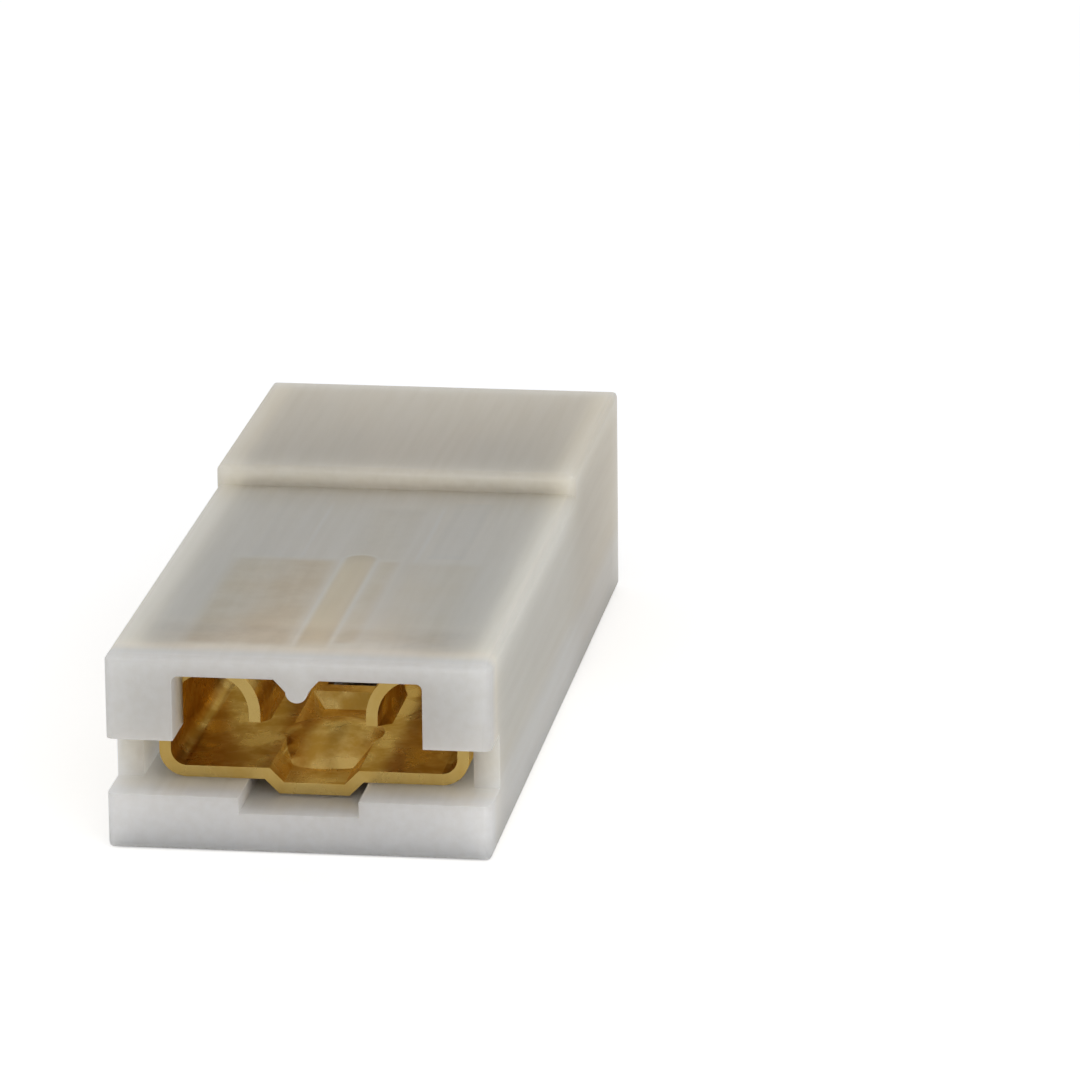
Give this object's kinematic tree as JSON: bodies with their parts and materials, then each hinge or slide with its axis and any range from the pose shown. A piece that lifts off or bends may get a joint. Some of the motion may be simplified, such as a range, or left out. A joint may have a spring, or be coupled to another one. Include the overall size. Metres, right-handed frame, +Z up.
{
  "type": "wire to board connector housing",
  "caption": "Moulded nylon connector housing around a rolled brass receptacle terminal, open at the front for a flat push-on tab and at the rear, under a raised collar, for its wire.",
  "frame": {"origin": "middle of the flat base face, the side under the terminal", "axes": "+Y along the length from the mating face to the wire end, +Z up from the base to the side that carries the collar, +X across the width"},
  "size_m": [0.0098, 0.0242, 0.0057],
  "materials": {
    "nylon": "translucent natural nylon, satin",
    "brass": "bare stamped strip"
  },
  "bodies": {
    "root": {"housing": "nylon", "receptacle_terminal": "brass"}
  },
  "joints": []
}
